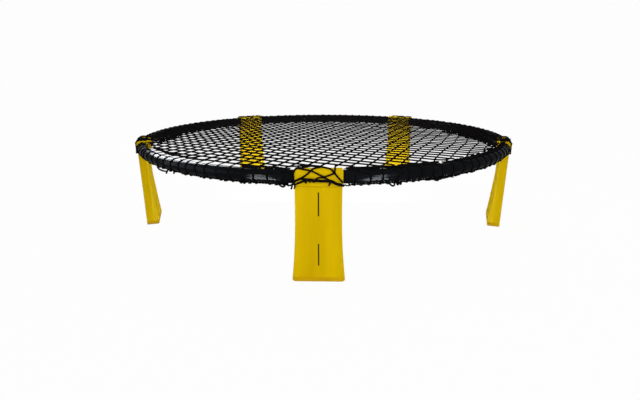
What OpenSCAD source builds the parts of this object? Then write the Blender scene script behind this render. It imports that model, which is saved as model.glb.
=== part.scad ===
// Round rebound net: a ring of five tubes on five folding legs, with a knotted net
// stretched over it. Millimetres. The ring's axis is Z, the ground is z = 0, and
// leg 1 stands towards -Y.

/* [Ring] */
// Diameter of the ring's centre line
ring_d = 891.4; // [820:0.1:1000]
// Height of the leg heads' top faces above the ground
stand_h = 201.2; // [185:0.1:240]
// Outer diameter of the rim tubes
tube_d = 23; // [21:0.5:26]
// Wall of the rim tubes
tube_wall = 2.2; // [1.6:0.1:3]
// Outer diameter of the tenon at each end of a rim tube
tenon_d = 17; // [14:0.5:17.5]
// Wall of the tenons
tenon_wall = 2; // [1.5:0.1:3]
// How far a tenon reaches into a leg head
tenon_len = 24; // [15:0.5:30]
// Clearance round a tenon in its socket
socket_clearance = 0.15; // [0.05:0.05:0.4]

/* [Leg heads] */
// Width of a leg head along the ring
head_w = 80.4; // [78:0.1:92]
// How far a head stands out above and below the rim tube
head_rise = 2.5; // [1:0.1:4]
// How far a head stands out at each side of the rim tube
head_side = 0.75; // [0.3:0.05:2]
// Radius of the head's upper long edges
head_corner_r = 7; // [4:0.5:9]
// Radius of the head's lower long edges
head_lower_r = 1.5; // [0.5:0.5:6]
// Width of the hinge tongue under a head
tongue_w = 40; // [30:1:46]
// Radius of the hinge tongue's round end
tongue_r = 6.4; // [5:0.1:6.5]

/* [Legs] */
// Width of a leg below its head
leg_w = 78.4; // [76:0.2:86]
// Width of the foot at the ground, before its corners are rounded
foot_w = 93; // [86:1:104]
// Height at which a leg starts to widen towards the foot
flare_h = 138; // [80:1:150]
// Depth of the leg's straight sides
leg_depth = 20; // [18:0.5:26]
// Wall of the leg's front shell
leg_wall = 3; // [2:0.1:4]
// Wall of the leg's back cover
back_wall = 2.5; // [2:0.1:3.5]
// Height at which the back starts to slope out
swell_h = 112; // [90:1:130]
// Height of the bend, below which the back slopes out more steeply
bend_h = 31; // [25:1:45]
// How far the back stands out at the bend
bend_out = 7; // [4:0.5:12]
// Width of the bevel along each side of the sloping back
back_bevel = 2; // [1:0.5:8]
// Depth of the foot, from its front face to its back
foot_depth = 29.5; // [26:0.5:32]
// Height of the foot pad
pad_h = 10; // [8:0.5:16]
// Radius of the foot pad's lower corners, seen from the front
pad_corner_r = 7; // [2:0.5:7.5]
// Radius of the foot pad's lower front and back edges
pad_edge_r = 4; // [1:0.5:7]
// Height of the plug that holds a foot pad in the leg
plug_h = 8; // [5:0.5:10]
// Clearance round that plug
plug_clearance = 0.2; // [0.1:0.05:0.4]
// Thickness of the stiffening ribs across the leg
rib_t = 2.4; // [1.6:0.2:4]
// Number of stiffening ribs across the leg
ribs = 3; // [1:1:4]

/* [Leg hinge] */
// Diameter of the hinge pin
pin_d = 6; // [4:0.5:7]
// Length of the hinge pin
pin_len = 66; // [58:1:68]
// Radial clearance of the hinge pin
pin_clearance = 0.05; // [0.02:0.01:0.1]
// Radius of the leg's knuckle round the pin
knuckle_r = 6.9; // [6.6:0.1:8]
// Gap between the leg's top and the underside of its head
hinge_gap = 0.3; // [0.2:0.05:0.8]
// Width of each saddle that holds the pin in the leg
saddle_w = 8; // [5:0.5:9]
// Gap between a saddle and the tongue
saddle_gap = 0.5; // [0.3:0.1:1]

/* [Net] */
// Strings carried over the edge for each leg
strings_per_leg = 12; // [8, 12]
// Width of a net string
string_w = 2.2; // [1.6:0.1:3]
// Thickness of a net string
string_t = 2; // [1.5:0.1:2.5]
// Turn of the mesh about the ring's axis
net_turn = 66; // [0:1:90]
// Width of the edge zone where the strings bend towards their hooks
edge_zone = 21; // [16:1:40]
// Diameter of the border cord
border_d = 3; // [2.4:0.1:4]
// Height of the border cord above the head's underside, where it crosses a head
border_h = 8; // [6:0.5:12]

/* [Net hooks] */
// Width of a hook along the ring
hook_w = 5; // [3:0.5:8]
// Thickness of a hook's stem
hook_t = 2.5; // [2:0.1:3]
// Offset of a hook's stem from the tube's centre line, outwards
hook_in = 2.5; // [1.5:0.1:4]
// Thickness of the lip under the cord
lip_t = 0.6; // [0.4:0.1:1.2]

/* [Hidden] */
$fn = 64;
ring_fn = 360;
flare_fn = 1440;
legs = 5;
leg_step = 360 / legs;
first_leg = -90;
seat = 0.05;       // gap at which a cord or string lies on what carries it
embed = 0.5;       // how far a rib or boss reaches into the wall that carries it
cut = 1;           // how far a cutting solid runs past the face that it cuts

ring_r = ring_d / 2;
tube_r = tube_d / 2;
tube_z = stand_h - head_rise - tube_r;

// Leg head, with its half width and half height round the tube's centre line
head_half_w = tube_r + head_side;
head_half_h = tube_r + head_rise;
head_under_z = tube_z - head_half_h;
face_r = ring_r + tube_r;
head_a = asin(head_w / 2 / face_r);
socket_a = tenon_len / ring_r * 180 / PI;
tenon_gap_a = 0.3 / ring_r * 180 / PI;
sleeve_a = 15 / ring_r * 180 / PI;
tongue_root = 4;

// Leg, seen along the ring: x is the distance from the ring's axis
leg_top = head_under_z - hinge_gap;
back_x = face_r - leg_depth;
seam_x = back_x + back_wall;
pin_x = back_x + knuckle_r;
pin_z = leg_top - knuckle_r;
flare_out = (foot_w - leg_w) / 2;
flare_r = (pow(flare_h, 2) + pow(flare_out, 2)) / (2 * flare_out);
saddle_y = tongue_w / 2 + saddle_gap;
saddle_drop = 11;
foot_back_x = face_r - foot_depth;
back_min_x = min(foot_back_x, back_x - bend_out);
window_z = pin_z - knuckle_r - 0.5;
rib_first = pad_h + plug_h + 6;
rib_step = (pin_z - saddle_drop - rib_first) / ribs;

// Net: lines of string in two directions, and one hook or seat for each line end
ends = legs * strings_per_leg;
lines = ends / 4;
end_step = 360 / ends;
net_r = ring_r - head_half_w - 0.45;
mesh_r = net_r - edge_zone;
mesh_pitch = 2 * mesh_r / (lines + 0.85);
net_z = tube_z + tube_r;
string_a = string_w / face_r * 180 / PI;
border_r = border_d / 2;
hook_out = hook_in + hook_t;
hook_drop = tube_r + border_d + seat + lip_t;
hook_a = hook_w / ring_r * 180 / PI;
cord_gap_a = 0.05 / ring_r * 180 / PI;
under_x = hook_in - border_r - seat;
under_z = -(tube_r + border_r + seat);
over_x = head_half_w + border_r + seat;
over_z = border_h - head_half_h;

// ---- Placing ----

// Turns a piece, drawn on the +X side, to leg k's place on the ring
module at_leg(k) rotate([0, 0, first_leg + (k - 1) * leg_step]) children();

// Sweeps a profile, drawn round the tube's centre line, from azimuth a0 to a1
module sweep(a0, a1)
    rotate([0, 0, a0])
        rotate_extrude(angle = a1 - a0, $fn = ring_fn)
            translate([ring_r, tube_z]) children();

// Extrudes a front view, with x along the ring and y up, from radius x0 to x1
module from_front(x0, x1)
    translate([x0, 0, 0]) rotate([90, 0, 90]) linear_extrude(x1 - x0) children();

// Extrudes a side view, with x outwards and y up, over y0 to y1 along the ring
module from_side(y0, y1)
    translate([0, y1, 0]) rotate([90, 0, 0]) linear_extrude(y1 - y0) children();

// A column on the ring's axis, which gives a face its curve
module axis_column(r)
    translate([0, 0, -cut]) cylinder(r = r, h = stand_h + 2 * cut, $fn = flare_fn);

// ---- Ring ----

module tube_profile(outer, inner)
    difference() {
        circle(outer);
        circle(inner);
    }

// Head outline across the ring, grown on all sides
module head_profile(grow = 0) {
    w = head_half_w + grow;
    h = head_half_h + grow;
    difference() {
        translate([-w, -h]) square([2 * w, 2 * h]);
        for (sx = [-1, 1], sy = [-1, 1]) {
            r = (sy > 0 ? head_corner_r : head_lower_r) + grow;
            difference() {
                translate([sx > 0 ? w - r : -w - cut, sy > 0 ? h - r : -h - cut])
                    square(r + cut);
                translate([sx * (w - r), sy * (h - r)]) circle(r);
            }
        }
    }
}

// Azimuths, from a leg, of the strings that hook under the tube beside it
function tube_strings() =
    [for (i = [0:strings_per_leg - 1])
        let (a = (i + 0.5) * end_step)
            if (a > head_a && a < leg_step - head_a) a];

module hook_profile()
    polygon([
        [hook_in, -tube_r + 1.5],
        [hook_out, -tube_r + 1.5],
        [hook_out, -hook_drop],
        [under_x + 0.35, -hook_drop],
        [under_x + 0.35, -hook_drop + lip_t],
        [hook_in, -hook_drop + lip_t + 0.6]]);

module rim_tube(k)
    color("#1b1c1f") at_leg(k) {
        sweep(head_a, leg_step - head_a) tube_profile(tube_r, tube_r - tube_wall);
        for (side = [0, 1]) {
            mouth = side == 0 ? head_a : leg_step - head_a;
            inwards = side == 0 ? 1 : -1;
            tip = mouth - inwards * (socket_a - tenon_gap_a);
            root = mouth + inwards * sleeve_a;
            sweep(min(tip, root), max(tip, root))
                tube_profile(tenon_d / 2, tenon_d / 2 - tenon_wall);
            sweep(min(mouth, root), max(mouth, root))
                tube_profile(tube_r - tube_wall / 2, tenon_d / 2 - tenon_wall / 2);
        }
        for (a = tube_strings())
            sweep(a - hook_a / 2, a + hook_a / 2) hook_profile();
    }

// ---- Leg heads and their hinges ----

module leg_head(k)
    color("#d9b400") at_leg(k)
        difference() {
            union() {
                sweep(-head_a, head_a) head_profile();
                from_side(-tongue_w / 2, tongue_w / 2) {
                    translate([pin_x - tongue_r, pin_z])
                        square([2 * tongue_r, head_under_z + tongue_root - pin_z]);
                    translate([pin_x, pin_z]) circle(tongue_r);
                }
            }
            for (side = [-1, 1])
                sweep(min(side * head_a, side * (head_a - socket_a)) - (side < 0 ? 0.2 : 0),
                      max(side * head_a, side * (head_a - socket_a)) + (side > 0 ? 0.2 : 0))
                    circle(tenon_d / 2 + socket_clearance);
            pin_bore();
        }

module pin_bore()
    translate([pin_x, 0, pin_z]) rotate([90, 0, 0])
        cylinder(d = pin_d + 2 * pin_clearance, h = leg_w, center = true);

module hinge_pin(k)
    color("#b9bcc0") at_leg(k)
        translate([pin_x, 0, pin_z]) rotate([90, 0, 0])
            cylinder(d = pin_d, h = pin_len, center = true);

// ---- Legs ----

// Front view of a leg, drawn in by inset, and carried on upwards by over
module leg_front(inset = 0, over = 0)
    difference() {
        translate([-foot_w / 2, -over]) square([foot_w, leg_top + 2 * over]);
        for (s = [-1, 1]) {
            translate([s * (leg_w / 2 + flare_r), flare_h])
                circle(flare_r + inset, $fn = flare_fn);
            translate([s > 0 ? leg_w / 2 - inset : -leg_w / 2 + inset - foot_w, flare_h])
                square([foot_w, leg_top]);
        }
    }

// Side view of the leg's straight sides, round the hinge pin at the top
module leg_side()
    difference() {
        translate([back_x, pad_h]) square([leg_depth + cut, leg_top - pad_h]);
        difference() {
            translate([back_x - cut, pin_z]) square(knuckle_r + cut);
            translate([pin_x, pin_z]) circle(knuckle_r);
        }
    }

module saddle_pair(x0, x1)
    for (s = [-1, 1])
        from_side(min(s * saddle_y, s * (saddle_y + saddle_w)),
                  max(s * saddle_y, s * (saddle_y + saddle_w)))
            intersection() {
                translate([x0, pin_z - saddle_drop])
                    square([x1 - x0, saddle_drop + knuckle_r]);
                leg_side();
            }

// Inside of the front shell, which the ribs and the foot's plug fit
module shell_inside(gap = 0)
    intersection() {
        from_front(seam_x - cut, face_r) leg_front(leg_wall + gap, cut);
        axis_column(face_r - leg_wall - gap);
    }

module leg_shell(k)
    color("#dcb600") at_leg(k)
        difference() {
            union() {
                difference() {
                    intersection() {
                        from_front(seam_x, face_r + cut) leg_front();
                        from_side(-foot_w, foot_w) leg_side();
                        axis_column(face_r);
                    }
                    shell_inside();
                }
                intersection() {
                    shell_inside(-embed);
                    union() {
                        for (i = [0:ribs - 1])
                            translate([seam_x + plug_clearance, -foot_w, rib_first + i * rib_step])
                                cube([leg_depth, 2 * foot_w, rib_t]);
                        saddle_pair(pin_x + pin_clearance, face_r);
                    }
                }
            }
            pin_bore();
        }

// Half of the leg's width at height z
function half_w(z) =
    leg_w / 2 + (z < flare_h ? flare_r - sqrt(pow(flare_r, 2) - pow(flare_h - z, 2)) : 0);

// One side of that part's outline at height z, seen from above: half width w at the leg's
// straight back, and p where it stands out to x
function swell_side(s, t, z, w, x, p) =
    [[back_x + t + cut, s * (w - t), z], [back_x + t, s * (w - t), z], [x + t, s * (p - t / 2), z]];

function swell_foot(s, t) =
    swell_side(s, t, pad_h - (t > 0 ? cut : 0), half_w(pad_h), foot_back_x, half_w(pad_h) - back_bevel);

function swell_bend(s, t) =
    swell_side(s, t, bend_h, half_w(bend_h), back_x - bend_out, half_w(bend_h) - back_bevel);

function swell_top(s, t) =
    [for (x = [cut, 0]) [back_x + t + x, s * (half_w(swell_h) - t), swell_h]];

// The sloping lower part of the back: a wedge with bevelled sides, bent at bend_h.
// With a wall t it is the hollow inside it, which is open towards the foot
module swelling(t = 0)
    polyhedron(
        concat(swell_foot(-1, t), swell_foot(1, t), swell_bend(-1, t), swell_bend(1, t),
            swell_top(-1, t), swell_top(1, t)),
        [[3, 4, 5, 2, 1, 0], [13, 15, 14, 12], [6, 9, 3, 0], [12, 14, 9, 6],
         [5, 11, 8, 2], [11, 15, 13, 8],
         [1, 7, 6, 0], [7, 13, 12, 6], [2, 7, 1], [2, 8, 7], [8, 13, 7],
         [9, 10, 4, 3], [14, 15, 10, 9], [10, 5, 4], [11, 5, 10], [15, 11, 10]]);

module leg_back(k)
    color("#cfa900") at_leg(k)
        difference() {
            union() {
                difference() {
                    intersection() {
                        from_front(back_min_x - cut, seam_x) leg_front();
                        union() {
                            intersection() {
                                from_front(back_x, seam_x) square(2 * leg_top, center = true);
                                from_side(-foot_w, foot_w) leg_side();
                            }
                            swelling();
                        }
                    }
                    swelling(back_wall);
                }
                saddle_pair(back_x, pin_x - pin_clearance);
            }
            from_side(-saddle_y, saddle_y)
                translate([back_x - cut, window_z])
                    square([leg_depth, leg_top]);
            pin_bore();
        }

// Front view of the foot pad, with its lower corners rounded
module pad_front()
    difference() {
        intersection() {
            leg_front();
            translate([-foot_w / 2, 0]) square([foot_w, pad_h]);
        }
        for (s = [-1, 1])
            difference() {
                translate([s > 0 ? foot_w / 2 - pad_corner_r : -foot_w / 2 - cut, -cut])
                    square(pad_corner_r + cut);
                translate([s * (foot_w / 2 - pad_corner_r), pad_corner_r]) circle(pad_corner_r);
            }
    }

// Side view of the foot pad, with its lower front and back edges rounded
module pad_side()
    difference() {
        translate([foot_back_x, 0]) square([foot_depth, pad_h]);
        for (s = [0, 1]) {
            x = s == 0 ? foot_back_x : face_r;
            inwards = s == 0 ? 1 : -1;
            difference() {
                translate([s == 0 ? x - cut : x - pad_edge_r, -cut]) square(pad_edge_r + cut);
                translate([x + inwards * pad_edge_r, pad_edge_r]) circle(pad_edge_r);
            }
        }
    }

module foot_pad(k)
    color("#b8940a") at_leg(k) {
        intersection() {
            from_front(foot_back_x, face_r) pad_front();
            from_side(-foot_w, foot_w) pad_side();
            axis_column(face_r);
            linear_extrude(pad_h)
                polygon([
                    [face_r, -foot_w / 2],
                    [back_x, -foot_w / 2],
                    [foot_back_x, back_bevel - half_w(pad_h)],
                    [foot_back_x, half_w(pad_h) - back_bevel],
                    [back_x, foot_w / 2],
                    [face_r, foot_w / 2]]);
        }
        intersection() {
            shell_inside(plug_clearance);
            translate([seam_x + plug_clearance, -foot_w, pad_h - embed])
                cube([leg_depth, 2 * foot_w, plug_h + embed]);
        }
    }

// ---- Net ----

function sorted(v) =
    len(v) < 2 ? v :
    let (p = v[floor(len(v) / 2)])
        concat(sorted([for (x = v) if (x < p) x]),
               [for (x = v) if (x == p) x],
               sorted([for (x = v) if (x > p) x]));

function turn_of(a) = a - 360 * floor(a / 360);

function line_offset(i) = (i - (lines - 1) / 2) * mesh_pitch;

// Azimuths at which the mesh's lines leave the mesh circle, in order
mesh_ends = sorted(
    [for (family = [0, 1], i = [0:lines - 1], s = [-1, 1])
        turn_of(net_turn + 90 * family
            + atan2(line_offset(i), s * sqrt(pow(mesh_r, 2) - pow(line_offset(i), 2))))]);

// Azimuths of the hooks, in order, with the first one matched to the first line end
hook_first = turn_of(first_leg + end_step / 2) % end_step;
hook_shift = round((mesh_ends * [for (e = mesh_ends) 1] / ends
    - (hook_first + (ends - 1) / 2 * end_step)) / end_step);

function hook_azimuth(i) = hook_first + (i + hook_shift) * end_step;

function on_circle(r, a) = [r * cos(a), r * sin(a)];

// A flat string from p to q, with a knot at p
module string_between(p, q) {
    v = q - p;
    translate(p) rotate([0, 0, atan2(v.y, v.x)])
        translate([0, -string_w / 2]) square([norm(v), string_w]);
    translate(p) circle(string_w * 0.8);
}

module net()
    color("#26221f") translate([0, 0, net_z]) linear_extrude(string_t) {
        intersection() {
            circle(mesh_r, $fn = ring_fn);
            union()
                for (family = [0, 1], i = [0:lines - 1])
                    rotate([0, 0, net_turn + 90 * family])
                        translate([-net_r, line_offset(i) - string_w / 2])
                            square([2 * net_r, string_w]);
        }
        intersection() {
            circle(net_r, $fn = ring_fn);
            union()
                for (i = [0:ends - 1])
                    string_between(on_circle(mesh_r - cut, mesh_ends[i]),
                                   on_circle(net_r + cut, hook_azimuth(i)));
        }
    }

// A string over the rim tube, from the net to its hook
module tube_string_profile() {
    translate([net_r - ring_r, tube_r]) square([ring_r - net_r, string_t]);
    intersection() {
        tube_profile(tube_r + string_t, tube_r);
        union() {
            square(2 * tube_d);
            translate([hook_out + seat, -2 * tube_d]) square([2 * tube_d, 4 * tube_d]);
        }
    }
}

// A string over a leg head, from the net to the border cord on its face
module head_string_profile()
    difference() {
        union() {
            translate([net_r - ring_r, tube_r]) square([head_half_w, string_t]);
            intersection() {
                head_profile(string_t);
                union() {
                    translate([net_r - ring_r, tube_r]) square(2 * tube_d);
                    translate([0, over_z + border_r + seat]) square(2 * tube_d);
                }
            }
        }
        head_profile();
    }

module net_edge_strings()
    color("#1d1a18")
        for (k = [1:legs])
            at_leg(k) {
                for (a = tube_strings())
                    sweep(a - string_a / 2, a + string_a / 2) tube_string_profile();
                for (i = [-strings_per_leg:strings_per_leg - 1])
                    if (abs((i + 0.5) * end_step) < head_a)
                        sweep((i + 0.5) * end_step - string_a / 2,
                              (i + 0.5) * end_step + string_a / 2)
                            head_string_profile();
            }

// A point beside the tube's centre line, given as [azimuth, outwards, up]
function beside(p) =
    [(ring_r + p.y) * cos(p.x), (ring_r + p.y) * sin(p.x), tube_z + p.z];

// Half of the border cord's way over a head: from the middle of the head's face to its
// edge, down past the corner, and in under the tube
tuck_a = head_a + 2.05;
half_way = [
    for (i = [0:3]) [i * (head_a - 1.35) / 3, over_x, over_z],
    [head_a + 0.3, over_x + 0.15, under_z + 2.7],
    [head_a + 1.15, over_x - 7, under_z - 0.8],
    [tuck_a - cord_gap_a, under_x, under_z]];
whole_way = concat(
    [for (i = [len(half_way) - 1:-1:1]) [-half_way[i].x, half_way[i].y, half_way[i].z]],
    half_way);
cord_points = [for (p = whole_way) beside(p)];
cord_sides = 8;
cord_steps = 3;

// A point on the smooth curve through a to d, at t of the way from b to c
function between(a, b, c, d, t) =
    0.5 * (2 * b + (c - a) * t + (2 * a - 5 * b + 4 * c - d) * pow(t, 2)
        + (3 * b - a - 3 * c + d) * pow(t, 3));

function smooth_way(v) =
    let (n = len(v), w = concat([2 * v[0] - v[1]], v, [2 * v[n - 1] - v[n - 2]]))
        concat(
            [for (i = [0:n - 2], t = [0:cord_steps - 1])
                between(w[i], w[i + 1], w[i + 2], w[i + 3], t / cord_steps)],
            [v[n - 1]]);

function unit(v) = v / norm(v);

// Directions of the curve at its points; at both ends it runs along the ring
function directions(v) =
    let (n = len(v))
        [for (i = [0:n - 1])
            i == 0 || i == n - 1 ? unit([-v[i].y, v[i].x, 0]) : unit(v[i + 1] - v[i - 1])];

// A round tube along the points of v
module tube_along(v, r, sides) {
    n = len(v);
    along = directions(v);
    points = [
        for (i = [0:n - 1])
            let (out = unit(cross(along[i], [0, 0, 1])), up = cross(out, along[i]))
                for (j = [0:sides - 1])
                    v[i] + r * cos(360 * j / sides) * out + r * sin(360 * j / sides) * up];
    walls = [
        for (i = [0:n - 2], j = [0:sides - 1])
            let (p = i * sides + j, q = i * sides + (j + 1) % sides)
                [p, q, q + sides, p + sides]];
    first_end = [for (j = [sides - 1:-1:0]) j];
    last_end = [for (j = [0:sides - 1]) (n - 1) * sides + j];
    polyhedron(points, concat([first_end], walls, [last_end]));
}

module border_cord()
    color("#15110f")
        for (k = [1:legs])
            at_leg(k) {
                sweep(tuck_a, leg_step - tuck_a)
                    translate([under_x, under_z]) circle(border_r);
                tube_along(smooth_way(cord_points), border_r, cord_sides);
            }

for (k = [1:legs]) {
    rim_tube(k);
    leg_head(k);
    leg_shell(k);
    leg_back(k);
    foot_pad(k);
    hinge_pin(k);
}
net();
net_edge_strings();
border_cord();
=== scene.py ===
import bpy
import math
import random
import numpy as np
from mathutils import Matrix, Vector


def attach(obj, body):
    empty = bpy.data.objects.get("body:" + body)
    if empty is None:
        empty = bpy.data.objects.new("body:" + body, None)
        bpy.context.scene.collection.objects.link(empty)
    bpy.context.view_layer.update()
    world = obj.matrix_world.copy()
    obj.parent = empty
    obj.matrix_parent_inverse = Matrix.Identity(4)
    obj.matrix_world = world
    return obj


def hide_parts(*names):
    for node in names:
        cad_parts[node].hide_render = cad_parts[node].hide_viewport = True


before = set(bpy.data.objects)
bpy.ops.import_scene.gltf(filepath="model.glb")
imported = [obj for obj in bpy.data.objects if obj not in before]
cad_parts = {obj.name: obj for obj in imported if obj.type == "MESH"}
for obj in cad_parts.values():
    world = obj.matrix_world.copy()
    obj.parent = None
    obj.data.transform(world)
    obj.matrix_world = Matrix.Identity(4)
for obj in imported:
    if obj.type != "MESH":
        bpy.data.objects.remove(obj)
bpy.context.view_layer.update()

# A round rebound net on five folding legs, in metres. The rigid pieces are shown as the
# part has them. The net, its edge and the border cord are drawn here as knotted string, and
# the legs get their printed bars.
rng = random.Random(11)
nrng = np.random.default_rng(11)

# ---------------------------------------------------------------- sizes, in metres

MM = 0.001
LEGS = 5
LEG_STEP = 360 / LEGS
FIRST_LEG = -90.0        # azimuth of leg 1
RING_R = 0.4457          # ring's centre line
TUBE_R = 0.0115
TUBE_Z = 0.1872          # height of the tube's centre line
FACE_R = 0.4572          # outer face of the tubes and legs
HEAD_HW = 0.01225        # half width and half height of a leg head's section
HEAD_HH = 0.0140
HEAD_CORNER = 0.007      # radii of a head's upper and lower long edges
HEAD_LOWER = 0.0015
HEAD_A = math.degrees(math.asin(0.0402 / FACE_R))    # half a head's width, in degrees
HEAD_MARGIN = 0.12       # degrees past a head's end that strings still lie at its height

NET_Z = 0.1997           # middle of the flat net
NET_R = 0.43
RIM_IN = RING_R - TUBE_R - 0.00175                   # where the flat net meets the rim
MESH_R = 0.4285          # knots lie within this radius
PITCH = 0.0244           # mesh width of the net
CORD_R = 0.00147         # radius of the net's string
KNOT_SIZE = 0.0015
WRAPS = 120              # strings that go over the rim
WRAP_STEP = 360 / WRAPS
WRAP_R = 0.0016          # half width of a string that is pulled flat over the rim
WRAP_FLAT = 0.5          # its thickness, as a share of its width
LOOP_R = 0.9 * CORD_R    # loops on the heads' faces and below the net's slack edge
HANG_R = 1.1 * CORD_R    # loops and cut ends that the photo shows below the rim
KNOT_STRAND_R = 0.65 * CORD_R    # the string within a knot

BORDER_UNDER = (0.00095, -0.01305)   # border cord's place from the tube's centre line
BORDER_STRAND_R = 0.00105            # each of the border cord's two twisted strands
BORDER_STRAND_OUT = 0.0008           # from the middle of the cord to the middle of a strand
BORDER_TWIST = 0.011                 # one full turn of the two strands round each other
TWIST_START = 0.6                    # angle at which the twist begins
FACE_STRAND_R = 0.00175   # the same strands where they lie looser over a head's face


def leg_azimuth(k):
    return FIRST_LEG + (k - 1) * LEG_STEP


def head_distance(az):
    """Degrees from the middle of the nearest leg head."""
    d = (az - FIRST_LEG) % LEG_STEP
    return min(d, LEG_STEP - d)


def ring_point(az, r, z):
    """Point at an azimuth in degrees, a distance from the ring's axis and a height."""
    a = math.radians(az)
    return np.array([r * math.cos(a), r * math.sin(a), z])


def azimuth(p):
    return math.degrees(math.atan2(p[1], p[0]))


def apart(a, b):
    """Degrees from azimuth b to azimuth a, the shorter way round."""
    return (a - b + 180) % 360 - 180


def unit(v):
    v = np.asarray(v, float)
    return v / (np.linalg.norm(v) + 1e-12)


def smooth_path(points, per=4):
    """Points of a Catmull-Rom curve through the given points."""
    p = np.asarray(points, float)
    w = np.vstack([2 * p[0] - p[1], p, 2 * p[-1] - p[-2]])
    out = []
    for i in range(len(p) - 1):
        a, b, c, d = w[i:i + 4]
        for t in np.arange(per) / per:
            out.append(0.5 * (2 * b + (c - a) * t + (2 * a - 5 * b + 4 * c - d) * t * t
                              + (3 * b - a - 3 * c + d) * t ** 3))
    out.append(p[-1])
    return np.array(out)


def show(name, data):
    """Puts a mesh, a camera or a light into the scene as an object."""
    ob = bpy.data.objects.new(name, data)
    bpy.context.scene.collection.objects.link(ob)
    return ob


# ---------------------------------------------------------------- mesh building

class Strands:
    """Gathers tubes and knots in plain lists and makes one mesh of them."""

    def __init__(self):
        self.verts, self.faces, self.count = [], [], 0

    def add(self, verts, faces):
        self.verts.append(np.asarray(verts, float))
        self.faces.append(np.asarray(faces, int) + self.count)
        self.count += len(verts)

    def tube(self, path, r, sides=6, closed=False, taper=None, normals=None, flat=1.0):
        """A tube along a path. Its section keeps from turning, or follows the normals
        given, and can be thinned by a taper and flattened along the normals."""
        p = np.asarray(path, float)
        n = len(p)
        if closed:
            t = np.roll(p, -1, 0) - np.roll(p, 1, 0)
        else:
            t = np.gradient(p, axis=0)
        t /= np.linalg.norm(t, axis=1)[:, None] + 1e-12
        if normals is None:
            u = self.steady_normals(t)
        else:
            u = normals - (normals * t).sum(1)[:, None] * t
            u /= np.linalg.norm(u, axis=1)[:, None] + 1e-12
        w = np.cross(t, u)
        rad = np.full(n, r) if taper is None else r * np.asarray(taper, float)
        ang = np.arange(sides) * 2 * math.pi / sides
        ring = (p[:, None, :] + rad[:, None, None]
                * (flat * np.cos(ang)[None, :, None] * u[:, None, :]
                   + np.sin(ang)[None, :, None] * w[:, None, :]))
        i = np.arange(n if closed else n - 1)[:, None]
        j = np.arange(sides)[None, :]
        here, there = i * sides, ((i + 1) % n) * sides
        quads = np.stack([here + j, here + (j + 1) % sides,
                          there + (j + 1) % sides, there + j], -1).reshape(-1, 4)
        base = self.count
        self.add(ring.reshape(-1, 3), quads)
        if not closed:
            self.cap(base, sides, True, p[0] - t[0] * rad[0] * 0.5)
            self.cap(base + (n - 1) * sides, sides, False, p[-1] + t[-1] * rad[-1] * 0.5)

    @staticmethod
    def steady_normals(tangents):
        """Normals that turn no more along the path than its bends ask for."""
        up = np.array([0.0, 0.0, 1.0])
        if abs(tangents[0] @ up) > 0.9:
            up = np.array([1.0, 0.0, 0.0])
        a = np.cross(tangents[0], up)
        a /= np.linalg.norm(a)
        out = np.zeros_like(tangents)
        for i, t in enumerate(tangents):
            a = a - (a @ t) * t
            a /= np.linalg.norm(a) + 1e-12
            out[i] = a
        return out

    def cap(self, first, sides, start, tip):
        """Closes a tube's end with triangles to a tip, stored as quads with a double corner."""
        self.verts.append(np.asarray([tip], float))
        j = np.arange(sides)
        k = (j + 1) % sides
        tips = np.full(sides, self.count)
        one, two = (k, j) if start else (j, k)
        self.faces.append(np.stack([first + one, first + two, tips, tips], -1))
        self.count += 1

    def make(self, name, material):
        """Makes one mesh of all that was gathered, and shows it."""
        verts = np.concatenate(self.verts)
        faces = np.concatenate(self.faces)
        is_tri = faces[:, 2] == faces[:, 3]
        quads, tris = faces[~is_tri], faces[is_tri][:, :3]
        count = len(quads) + len(tris)
        starts = np.concatenate([np.arange(len(quads)) * 4,
                                 quads.size + np.arange(len(tris)) * 3])
        me = bpy.data.meshes.new(name)
        me.vertices.add(len(verts))
        me.vertices.foreach_set("co", verts.astype(np.float32).ravel())
        me.loops.add(quads.size + tris.size)
        me.loops.foreach_set("vertex_index", np.concatenate([quads.ravel(), tris.ravel()]))
        me.polygons.add(count)
        me.polygons.foreach_set("loop_start", starts)
        me.polygons.foreach_set("use_smooth", np.ones(count, bool))
        me.update(calc_edges=True)
        me.validate()
        me.materials.append(material)
        ob = show(name, me)
        return ob


# ---------------------------------------------------------------- materials

def srgb(r, g, b):
    def linear(c):
        c = c / 255
        return c / 12.92 if c <= 0.04045 else ((c + 0.055) / 1.055) ** 2.4
    return (linear(r), linear(g), linear(b))


def new_material(name):
    m = bpy.data.materials.new(name)
    m.use_nodes = True
    nt = m.node_tree
    return m, nt, next(n for n in nt.nodes if n.type == "BSDF_PRINCIPLED")


def node(nt, kind, **values):
    n = nt.nodes.new(kind)
    for k, v in values.items():
        if k in n.inputs:
            n.inputs[k].default_value = v
        else:
            setattr(n, k, v)
    return n


def object_coords(nt):
    return node(nt, "ShaderNodeTexCoord").outputs["Object"]


def stretched(nt, coords, scale):
    n = node(nt, "ShaderNodeMapping", Scale=scale)
    nt.links.new(coords, n.inputs["Vector"])
    return n.outputs["Vector"]


def noise(nt, coords, scale, detail, roughness=0.5):
    n = node(nt, "ShaderNodeTexNoise", Scale=scale, Detail=detail, Roughness=roughness)
    nt.links.new(coords, n.inputs["Vector"])
    return n.outputs["Fac"]


def ramp(nt, factor, stops, socket):
    """Feeds a socket with the colours or greys that a factor picks from (factor, value)."""
    r = nt.nodes.new("ShaderNodeValToRGB")
    while len(r.color_ramp.elements) < len(stops):
        r.color_ramp.elements.new(0.5)
    for e, (pos, value) in zip(r.color_ramp.elements, stops):
        e.position = pos
        e.color = (*value, 1) if isinstance(value, tuple) else (value, value, value, 1)
    nt.links.new(factor, r.inputs["Fac"])
    nt.links.new(r.outputs["Color"], socket)


def relief(nt, height, strength, distance, bsdf):
    b = node(nt, "ShaderNodeBump", Strength=strength, Distance=distance)
    nt.links.new(height, b.inputs["Height"])
    nt.links.new(b.outputs["Normal"], bsdf.inputs["Normal"])


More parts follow.
